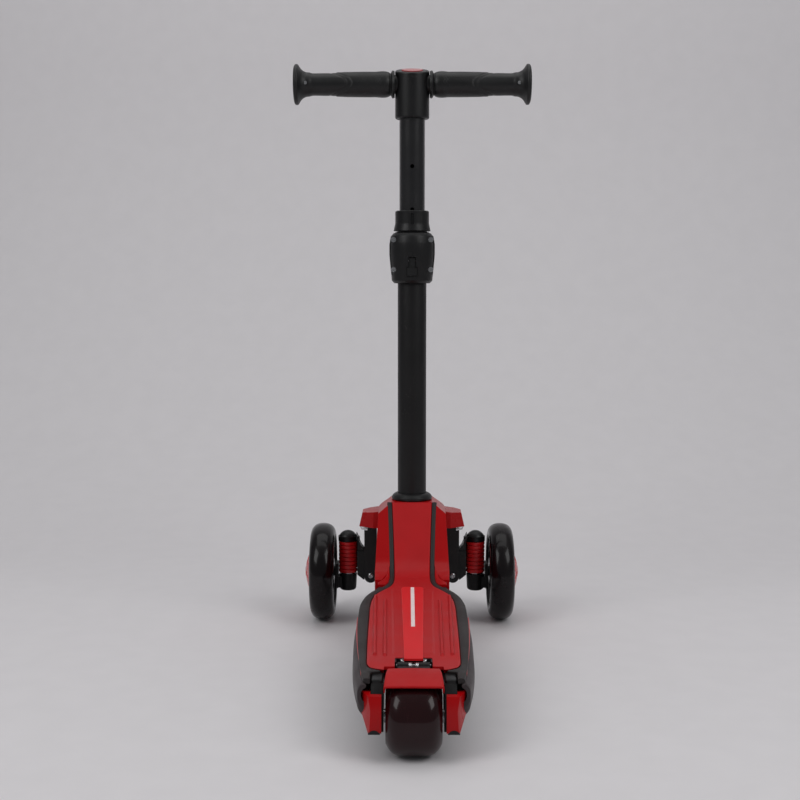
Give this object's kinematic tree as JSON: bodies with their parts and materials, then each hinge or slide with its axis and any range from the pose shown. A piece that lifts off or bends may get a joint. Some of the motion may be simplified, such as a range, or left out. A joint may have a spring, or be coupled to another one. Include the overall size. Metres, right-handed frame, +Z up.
{
  "type": "kick scooter",
  "caption": "Small child's lean-to-steer kick scooter with two sprung front wheels, a wide rear wheel with a foot brake and a height-adjustable T-bar.",
  "frame": {"origin": "on the ground, at the middle of the overall length and width", "axes": "+Y forward along the deck, +X to the rider's right, +Z up"},
  "size_m": [0.277, 0.562, 0.6755],
  "materials": {
    "red_shell": "satin moulded plastic",
    "red_hub_cap": "glossy moulded plastic",
    "light_red_strip": "satin grip strip",
    "white_inlay": "printed stripe",
    "dark_trim": "satin dark grey plastic",
    "pink_line": "thin red line",
    "black_plastic": "fine grained black plastic",
    "black_tube": "matte powder coat",
    "gloss_black_tube": "gloss black paint",
    "black_casting": "black painted metal",
    "steel": "zinc plated steel",
    "spring_steel": "bright steel",
    "bearing_steel": "ground steel",
    "white_slider": "plain acetal",
    "grip_rubber": "fine textured rubber",
    "red_rubber": "glossy ribbed rubber",
    "maroon_tyre": "smoky dark red polyurethane",
    "wheel_core": "dark moulded plastic",
    "clear_lens": "clear plastic lens"
  },
  "bodies": {
    "deck": {"top_panel": "red_shell", "middle_strip": "light_red_strip", "white_stripe": "white_inlay", "border_trim": "dark_trim", "pinstripe": "pink_line", "deck_skirt": "dark_trim", "chassis": "black_casting", "fork_arms": "black_plastic", "rear_pods": "red_shell", "rear_axle": "steel", "brake_hinge_pin": "spring_steel", "brake_spring": "spring_steel", "hood": "red_shell", "hood_wings": "red_shell", "wing_lenses": "clear_lens", "stem_bezel": "black_plastic", "lower_tube": "black_tube", "housing_rear": "black_plastic", "housing_front": "black_plastic", "housing_screws": "steel", "guide_bush": "white_slider", "collar": "black_plastic", "lever_pin": "steel", "lever_spring": "spring_steel", "lean_pivot": "steel"},
    "rear_wheel": {"rear_tyre": "maroon_tyre", "rear_wheel_core": "wheel_core", "rear_bearings": "bearing_steel"},
    "brake": {"brake_fender": "red_shell", "brake_pad": "steel"},
    "lever": {"release_lever": "black_plastic", "lock_pin": "steel"},
    "t_bar": {"upper_tube": "gloss_black_tube", "tube_plug": "white_slider", "t_head": "black_plastic", "head_badge": "red_hub_cap", "handle_core": "steel", "grips": "grip_rubber", "grip_screws": "steel"},
    "truck": {"lean_bushing": "grip_rubber", "truck_beam": "black_casting", "truck_covers": "black_plastic", "strut_housings": "black_plastic", "bellows_left": "red_rubber", "bellows_right": "red_rubber", "strut_spring_left": "spring_steel", "strut_spring_right": "spring_steel"},
    "tie": {"tie_rod": "steel"},
    "strut_left": {"strut_rod_left": "steel"},
    "knuckle_left": {"knuckle_left": "black_casting"},
    "front_wheel_left": {"front_tyre_left": "maroon_tyre", "front_wheel_core_left": "wheel_core", "front_bearings_left": "bearing_steel", "hub_cap_left": "red_hub_cap"},
    "strut_right": {"strut_rod_right": "steel"},
    "knuckle_right": {"knuckle_right": "black_casting"},
    "front_wheel_right": {"front_tyre_right": "maroon_tyre", "front_wheel_core_right": "wheel_core", "front_bearings_right": "bearing_steel", "hub_cap_right": "red_hub_cap"}
  },
  "joints": [
    {"name": "rear_wheel_spin", "type": "hinge", "parent": "deck", "child": "rear_wheel", "pos_m": [0, -0.246, 0.035], "axis": [1, 0, 0], "continuous": true},
    {"name": "brake_press", "type": "hinge", "parent": "deck", "child": "brake", "pos_m": [0, -0.212, 0.07], "axis": [1, 0, 0], "range_deg": [0, 2.8], "stiffness_Nm_per_rad": 1.2, "springref_deg": -5.73, "deforming": ["brake_spring"]},
    {"name": "lever_press", "type": "hinge", "parent": "deck", "child": "lever", "pos_m": [0, 0.1428, 0.446], "axis": [1, 0, 0], "range_deg": [0, 7], "stiffness_Nm_per_rad": 0.3, "springref_deg": -5.73, "deforming": ["lever_spring"]},
    {"name": "t_bar_height", "type": "slide", "parent": "deck", "child": "t_bar", "axis": [0, 0, 1], "range_m": [-0.1, 0.05]},
    {"name": "lean", "type": "hinge", "parent": "deck", "child": "truck", "pos_m": [0, 0.221, 0.064], "axis": [0, 1, 0], "range_deg": [-12, 12], "stiffness_Nm_per_rad": 60},
    {"name": "tie_rod_slide", "type": "slide", "parent": "truck", "child": "tie", "axis": [1, 0, 0], "range_m": [-0.0056, 0.0056]},
    {"name": "suspension_left", "type": "slide", "parent": "truck", "child": "strut_left", "axis": [0, 0, 1], "range_m": [0, 0.008], "stiffness_N_per_m": 9000, "springref_m": -0.003, "deforming": ["bellows_left", "strut_spring_left"]},
    {"name": "steer_left", "type": "hinge", "parent": "strut_left", "child": "knuckle_left", "pos_m": [-0.08, 0.221, 0.047], "axis": [0, 0, 1], "range_deg": [-12, 12]},
    {"name": "front_wheel_spin_left", "type": "hinge", "parent": "knuckle_left", "child": "front_wheel_left", "pos_m": [-0.111, 0.221, 0.06], "axis": [1, 0, 0], "continuous": true},
    {"name": "suspension_right", "type": "slide", "parent": "truck", "child": "strut_right", "axis": [0, 0, 1], "range_m": [0, 0.008], "stiffness_N_per_m": 9000, "springref_m": -0.003, "deforming": ["bellows_right", "strut_spring_right"]},
    {"name": "steer_right", "type": "hinge", "parent": "strut_right", "child": "knuckle_right", "pos_m": [0.08, 0.221, 0.047], "axis": [0, 0, 1], "range_deg": [-12, 12]},
    {"name": "front_wheel_spin_right", "type": "hinge", "parent": "knuckle_right", "child": "front_wheel_right", "pos_m": [0.111, 0.221, 0.06], "axis": [1, 0, 0], "continuous": true}
  ],
  "couplings": [
    {"joint": "tie_rod_slide", "follows": "lean", "m_per_rad": -0.026},
    {"joint": "steer_left", "follows": "lean", "ratio": 1},
    {"joint": "steer_right", "follows": "lean", "ratio": 1}
  ]
}
